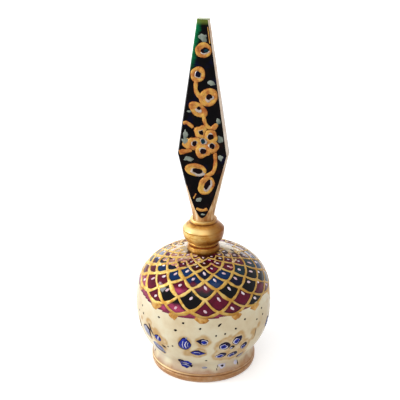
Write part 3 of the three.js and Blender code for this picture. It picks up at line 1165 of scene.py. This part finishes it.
def groundColor(tree):
    # Black ground with green along the upper left edge, partly green paint and partly a painted sheen where
    # that edge catches light
    point, z = objectPoint(tree), objectAxes(tree)[2]
    cloud = noiseAt(tree, point, 260, detail=6, roughness=0.6)
    ground = paintRamp(tree, cloud, (0.35, (4, 4, 5)), (0.58, (12, 9, 10)), (0.75, (42, 16, 12)))
    ground = mixColors(tree, fade(tree, noiseAt(tree, point, 170), 0.56, 0.7), ground, linear(6, 8, 38))
    wander = noiseAt(tree, objectPoint(tree, (300, 300, 1600)), 1)
    wander = mathNode(tree, "MULTIPLY_ADD", wander, 2.6, -1.3)
    # Painted sheen, partly green paint: green high up along the left edge
    near = fade(tree, mathNode(tree, "ADD", leftEdge(tree), wander), 1.9, 0.4)
    high = mathNode(tree, "MULTIPLY", fade(tree, z, 103, 110), near)
    green = mixColors(tree, high, ground, linear(8, 112, 66))
    return mixColors(tree, fade(tree, z, 118.6, 119.8, 0, 0.7), green, linear(*finial["olive"]))


def finialEdgeFinish():
    # Pale paint on the narrow edges, golden low down; the black of each broad face runs over its left edge
    material, tree = newMaterial("finial edge paint")
    point = objectPoint(tree)
    x, y, z = objectAxes(tree)
    cloud = noiseAt(tree, point, 300, detail=5)
    pale = paintRamp(tree, cloud, (0.3, (206, 174, 146)), (0.5, (228, 206, 184)), (0.7, (238, 226, 212)))
    streaks = noiseAt(tree, objectPoint(tree, (700, 700, 90)), 1, detail=5)
    golden = paintRamp(tree, streaks, (0.38, (158, 104, 54)), (0.5, (206, 160, 106)), (0.64, (232, 210, 174)))
    edge = mixColors(tree, fade(tree, z, 79, 70), pale, golden)
    border = noiseAt(tree, objectPoint(tree, (500, 500, 170)), 1)
    border = mathNode(tree, "MULTIPLY_ADD", border, 0.5, -0.22)
    border = mathNode(tree, "SUBTRACT", border, fade(tree, z, 84, 70, 0, 0.05))
    wraps = fade(tree, mathNode(tree, "ADD", mathNode(tree, "DIVIDE", y, x), border), 0, 0.03)
    high = fade(tree, mathNode(tree, "MULTIPLY_ADD", noiseAt(tree, point, 350), 8, z), 68, 70)
    color = mixColors(tree, mathNode(tree, "MULTIPLY", wraps, high), edge, groundColor(tree))
    color = mixColors(tree, fade(tree, z, 120.3, 120.4), color, linear(*finial["olive"]))
    looks = {"Base Color": color, "Roughness": 0.4, **lacquer, "Coat Weight": 0.4}
    setShader(tree, looks, (noiseAt(tree, point, 600), 0.15, 0.1))
    return material


def finialFaceFinish():
    material, tree = newMaterial("finial ground paint")
    looks = {"Base Color": groundColor(tree), "Roughness": 0.5, **lacquer}
    bump = noiseAt(tree, objectPoint(tree), 300)
    setShader(tree, {**looks, "Coat Weight": 0.1, "Specular IOR Level": 0.02}, (bump, 0.12, 0.2))
    return material


def makeFinial():
    f = finial
    bottom, soft, widest, widestAt, tenon = f["bottom"], f["soft"], f["widest"], f["widestAt"], f["tenon"]
    outline = [(0, bottom - f["tenonLength"]), (tenon, bottom - f["tenonLength"]), (tenon, bottom)]
    outline += [(f["stem"], bottom), (f["stem"], f["stemTop"]), (f["flare"], f["flareTop"])]
    outline += [(widest - soft * 0.25, widestAt - soft), (widest, widestAt)]
    outline += [(widest - soft * 0.2, widestAt + soft), (f["tip"], f["top"]), (0, f["top"])]
    bm = spun(outline, 96)
    for side in (-1, 1):
        geometry = bm.verts[:] + bm.edges[:] + bm.faces[:]
        point, normal = (0, side * f["tipHalf"], f["top"]), Vector((0, side, faceLean)).normalized()
        cut = bmesh.ops.bisect_plane(
            bm, geom=geometry, dist=0.0001, plane_co=point, plane_no=normal, clear_outer=True
        )
        rim = [e for e in cut["geom_cut"] if isinstance(e, bmesh.types.BMEdge)]
        bmesh.ops.edgeloop_fill(bm, edges=rim, mat_nr=1)
    finish(bm, "finial_blade_painted", [finialEdgeFinish(), finialFaceFinish()], "finial_blade", sharp=30)


makeHead()
makeStick()
makeFinial()
print("stopper ready")

# Vine on the finial

vinePaints = {
    "brown": enamelFinish("brown line paint", (88, 38, 18), (52, 18, 12), coat=0.1),
    "gold": goldLineFinish("vine gold", (206, 160, 76), (194, 134, 66), (166, 94, 42), 0.1),
    "white": enamelFinish("vine white paint", (208, 196, 186), (160, 138, 124), coat=0.1),
    "navy": enamelFinish("navy paint", (10, 12, 44), (6, 5, 14), coat=0.1),
    "teal": enamelFinish("teal paint", (16, 60, 74), (8, 20, 30), coat=0.1),
    "maroon": enamelFinish("maroon paint", (26, 5, 9), (8, 3, 4), coat=0.1),
    "grey": enamelFinish("grey-green paint", (152, 158, 146), (92, 102, 92), coat=0.1),
}
vine = {
    # Place, size and turn of a ring, place and size of the white in it, paint, place and size of its hearts
    "rings": (
        ((0.2, 110.8), (5.2, 4.9), 10, (0.75, -0.45, 2.9, 1.6), ("maroon", 0.5, 0, 2.8, 1.6),
         ("teal", 0.75, -0.05, 1.6, 1)),
        ((-1.5, 103), (5.1, 4.7), 70, (0, -0.1, 2.4, 2.2), ("navy", 0.1, 0.1, 2, 1.7)),
        ((1.9, 95.7), (6.4, 5.4), 38, (0.25, -0.1, 2.9, 2.4), ("maroon", 0.2, 0.3, 2.2, 1.9)),
        ((-1.4, 91.6), (6.6, 4.1), -38, (0.1, -0.1, 2.2, 1.6), ("maroon", 0.25, 0.5, 1.5, 1)),
        ((-2.2, 71.4), (7.2, 4.2), -6, (0.4, -0.75, 5, 2.4), ("maroon", 0.6, -0.35, 3.4, 1.8)),
        ((1.3, 66.1), (6.9, 4.9), 62, (0.65, -0.1, 4.5, 2.2), ("maroon", 0.4, 0.35, 3.5, 1.7)),
    ),
    # Width of a stem at its start and end, then its points
    "stems": (
        (1.2, 1.2, (-2.1, 101.2), (-2.2, 98.2), (-1.5, 96.6), (-0.4, 95.2)),
        (1.2, 1.4, (0.4, 89.6), (1, 87), (3, 85.4), (4.8, 87.2)),
        (1.2, 0.9, (-6.3, 86.8), (-5.3, 87.2), (-4.3, 86.7), (-2.9, 85.6)),
        (1.7, 1.1, (-7.6, 77), (-6.2, 77.4), (-3.4, 78)),
        (1.1, 1.3, (4, 78.4), (4.3, 73.8), (3.4, 70.7), (0.6, 69.2)),
        (0.5, 0.5, (-2.9, 61.4), (-2, 63.2)),
        (0.9, 0.9, (-1.9, 58.1), (-0.9, 57.55), (0.4, 57.45), (1.8, 58)),
        (0.25, 0.5, (1.5, 118.2), (1.9, 115.4), (2.25, 112.9)),
    ),
    # x, z and width of a petal, and the width of its dark heart
    "petals": (
        (-0.4, 84, 4.7, 1.5), (-2.6, 80.3, 4.6, 1.6), (0.3, 77.9, 4.8, 1.9), (3.2, 79.7, 4.4, 1.8),
        (2.7, 82.8, 4.6, 2),
    ),
    "flowerMiddle": (0.5, 81.2),
    # x, z, width and height of a grey dab
    "greys": (
        (0.1, 114.7, 2.4, 2.4), (2.9, 100.3, 2.5, 2), (5.1, 87.9, 1.5, 1.9), (-4.5, 90.9, 1.5, 0.9),
        (-5.5, 83.2, 1.4, 3), (-5.4, 81, 2.2, 2.4), (5.8, 81.9, 1.8, 2.3), (5.9, 75.8, 1.6, 1.6),
        (-4.5, 75, 2.8, 1.4), (-1, 60.9, 1.7, 1.4), (0.3, 56, 1.2, 0.8),
    ),
    "lifts": {"under": 0.01, "petal": 0.035, "gold": 0.04, "white": 0.11, "heart": 0.17},
}
lifts = vine["lifts"]


def loop(bm, place, at, size, width, turn, lift):
    # A painted loop: a stroke round an ellipse
    def path(t):
        way = 2 * math.pi * t
        return turned(math.cos(way) * size[0] / 2, math.sin(way) * size[1] / 2, math.radians(turn), at)

    stroke(bm, place, path, width, steps=22, across=3, lift=lift)


def paintRing(brushes, place, at, ringSize, turn, white, *hearts):
    # A gold loop with a white crescent and a dark heart in it
    x, z = at
    size = (ringSize[0] - 1.2, ringSize[1] - 1.2)
    loop(brushes["brown"], place, at, size, 1.5, turn, lifts["under"])
    loop(brushes["gold"], place, at, size, 1.25, turn, lifts["gold"])
    dab(brushes["gold"], place, size, turn, at=at, lift=lifts["gold"], rise=0.02)
    offX, offZ, *size = white
    dab(brushes["white"], place, size, turn, at=(x + offX, z + offZ), lift=lifts["white"], wild=0.5)
    for i, (paint, offX, offZ, *size) in enumerate(hearts):
        lift = lifts["heart"] + i * lifts["petal"]
        dab(brushes[paint], place, size, turn, at=(x + offX, z + offZ), lift=lift)


def paintVineFlower(brushes, place):
    # Five petals that overlap, each with a thin brown rim, a white crescent and a dark heart
    for i, (x, z, wide, heart) in enumerate(vine["petals"]):
        lift = lifts["under"] + i * lifts["petal"]
        high = lift + 0.1
        dab(brushes["brown"], place, (wide + 0.35, wide + 0.35), at=(x, z), sides=20, lift=lift)
        dab(brushes["gold"], place, (wide, wide), at=(x, z), sides=20, lift=lift + 0.02, rise=0.09)
        white = {"at": (x - 0.12, z + 0.1), "lift": high, "rise": 0.04, "wild": 0.6}
        dab(brushes["white"], place, (heart + 0.15, heart + 0.2), 30 * i, **white)
        dab(brushes["maroon"], place, (heart, heart), 70 * i, at=(x, z), lift=high + 0.05, rise=0.03)
    x, z = vine["flowerMiddle"]
    high = lifts["under"] + len(vine["petals"]) * lifts["petal"] + 0.1
    dab(brushes["white"], place, (2, 1.9), at=(x, z), lift=high, rise=0.04, wild=0.6)
    dab(brushes["teal"], place, (1.3, 1.6), at=(x - 0.25, z), lift=high + 0.05, rise=0.03)


def paintStem(brushes, place, startWidth, endWidth, *points):
    for paint, more, lift in (("brown", 0.25, lifts["under"]), ("gold", 0, lifts["gold"])):
        def brush(t):
            return startWidth + (endWidth - startWidth) * t + more

        stroke(brushes[paint], place, throughPoints(points), brush, steps=16, taper=0.06, lift=lift)


def makeVine():
    brushes = {name: bmesh.new() for name in vinePaints}
    for side in (-1, 1):
        place = onFace(side)
        for ring in vine["rings"]:
            paintRing(brushes, place, *ring)
        for stem in vine["stems"]:
            paintStem(brushes, place, *stem)
        dab(brushes["gold"], place, (3.6, 4.2), -20, at=(-4.4, 80.1))
        paintVineFlower(brushes, place)
        for x, z, across, up in vine["greys"]:
            dab(brushes["grey"], place, (across, up), at=(x, z), wild=0.8)
    for name, bm in brushes.items():
        finishPaint(bm, f"vine_{name}", vinePaints[name], "finial_blade")


makeVine()
print("vine ready")

# Studio, in metres

studio = {
    "skyStrength": 0.5,
    "floorHalf": 4,
    "floorColor": (0.86, 0.86, 0.86),
    "floorGlow": 0.42,  # only what the camera and reflections see of the floor
    "floorWhite": (0.32, 0.52),  # from here to here it turns as white as the sky, from the pot outwards
    "aim": (0, 0, 0.04),
    "window": {"place": (-0.54, -0.1, 0.28), "size": (0.2, 0.13), "watts": 2.3},
    "ceiling": {"place": (0.1, -0.5, 0.75), "size": (0.7, 0.6), "watts": 2.6},
    "backdrop": {"place": (-0.1, 0.7, 0.2), "size": (0.7, 0.2), "watts": 1.4},
}
plainWhite = (1, 1, 1)


def whiteToEye(tree):
    # 1 for rays that the eye, a mirror or glass sends, 0 for rays that carry light
    rays = addNode(tree, "ShaderNodeLightPath").outputs
    seen = mathNode(tree, "MAXIMUM", rays["Is Camera Ray"], rays["Is Glossy Ray"])
    return mathNode(tree, "MAXIMUM", seen, rays["Is Transmission Ray"])


def makeSky():
    scene = bpy.context.scene
    scene.view_settings.view_transform = "Standard"
    scene.world = bpy.data.worlds.new("studio")
    scene.world.use_nodes = True
    tree = scene.world.node_tree
    light = tree.nodes["Background"].outputs["Background"]
    feed(tree, tree.nodes["Background"].inputs["Color"], plainWhite)
    feed(tree, tree.nodes["Background"].inputs["Strength"], studio["skyStrength"])
    seen = addNode(tree, "ShaderNodeBackground", Color=plainWhite, Strength=1).outputs["Background"]
    mix = addNode(tree, "ShaderNodeMixShader", whiteToEye(tree), light, seen)
    tree.links.new(mix.outputs["Shader"], tree.nodes["World Output"].inputs["Surface"])


def makeFloor():
    bm = bmesh.new()
    bmesh.ops.create_grid(bm, x_segments=1, y_segments=1, size=studio["floorHalf"])
    mesh = bpy.data.meshes.new("floor")
    bm.to_mesh(mesh)
    bm.free()
    material, tree = newMaterial("pale floor")
    shader = tree.nodes["Principled BSDF"]
    looks = {"Base Color": studio["floorColor"], "Roughness": 0.8, "Specular IOR Level": 0}
    for name, value in looks.items():
        feed(tree, shader.inputs[name], value)
    away = addNode(tree, "ShaderNodeVectorMath", objectPoint(tree), operation="LENGTH").outputs["Value"]
    far = fade(tree, away, *studio["floorWhite"], studio["floorGlow"], 1)
    strength = mathNode(tree, "MULTIPLY", whiteToEye(tree), far)
    glow = addNode(tree, "ShaderNodeEmission", Color=plainWhite, Strength=strength)
    both = addNode(tree, "ShaderNodeAddShader", shader.outputs["BSDF"], glow.outputs["Emission"])
    tree.links.new(both.outputs["Shader"], tree.nodes["Material Output"].inputs["Surface"])
    mesh.materials.append(material)
    floor = bpy.data.objects.new("floor", mesh)
    bpy.context.scene.collection.objects.link(floor)


def makeLamp(name):
    settings = studio[name]
    lamp = bpy.data.lights.new(name, "AREA")
    lamp.shape = "RECTANGLE"
    lamp.size, lamp.size_y = settings["size"]
    lamp.energy = settings["watts"]
    holder = bpy.data.objects.new(name, lamp)
    bpy.context.scene.collection.objects.link(holder)
    holder.location = settings["place"]
    holder.rotation_euler = (Vector(studio["aim"]) - holder.location).to_track_quat("-Z", "Y").to_euler()


makeSky()
makeFloor()
makeLamp("window")
makeLamp("ceiling")
makeLamp("backdrop")
print("studio ready")
